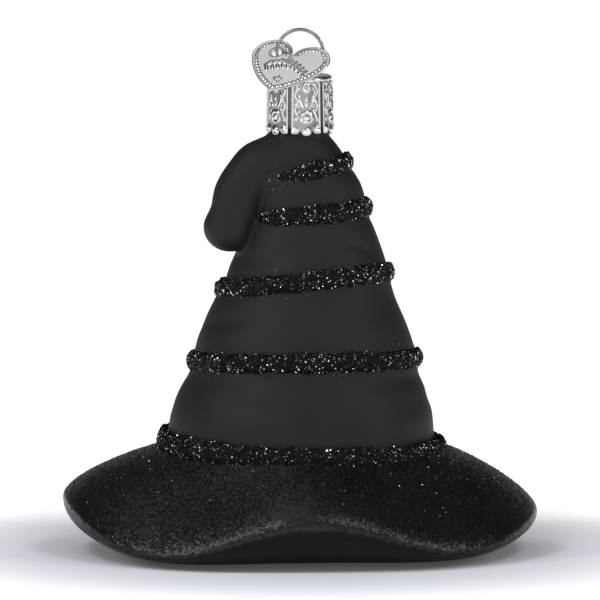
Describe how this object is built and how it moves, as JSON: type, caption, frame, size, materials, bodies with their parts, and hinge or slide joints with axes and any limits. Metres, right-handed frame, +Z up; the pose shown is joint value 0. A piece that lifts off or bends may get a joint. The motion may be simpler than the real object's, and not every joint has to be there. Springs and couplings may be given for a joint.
{
  "type": "glass hat ornament",
  "caption": "Hanging blown-glass ornament shaped like a crumpled pointed hat, with raised glitter bands, stamped cap, wire hanger loop and heart tag.",
  "frame": {"origin": "middle of the flat foot, on the axis of the neck and cap; the lowest point of the part", "axes": "+Z up through the neck, +X to the viewer's right, -Y towards the viewer; the folded tip droops towards -X and -Y"},
  "size_m": [0.09, 0.08, 0.0994],
  "materials": {
    "painted_glass": "opaque charcoal paint, matte on the crown and underside, gloss on the brim",
    "black_glitter": "black glitter flakes set in clear varnish",
    "stamped_silver": "bright stamped sheet",
    "spring_wire": "bright drawn wire"
  },
  "bodies": {
    "glass": {"glass_body": "painted_glass", "glitter_band_1": "black_glitter", "glitter_band_2": "black_glitter", "glitter_band_3": "black_glitter", "glitter_band_4": "black_glitter", "glitter_band_5": "black_glitter"},
    "cap": {"ornament_cap": "stamped_silver"},
    "hanger": {"hanger_wire": "spring_wire"},
    "tag": {"heart_tag": "stamped_silver"}
  },
  "joints": [
    {"name": "cap_lift", "type": "slide", "parent": "glass", "child": "cap", "axis": [0, 0, 1], "range_m": [0, 0.03]},
    {"name": "hanger_pull", "type": "slide", "parent": "cap", "child": "hanger", "axis": [0, 0, 1], "range_m": [0, 0.004]},
    {"name": "tag_swing", "type": "hinge", "parent": "hanger", "child": "tag", "pos_m": [-0.00434, 0, 0.09451], "axis": [0.0523, 0, -0.9986], "range_deg": [0, 150]}
  ]
}
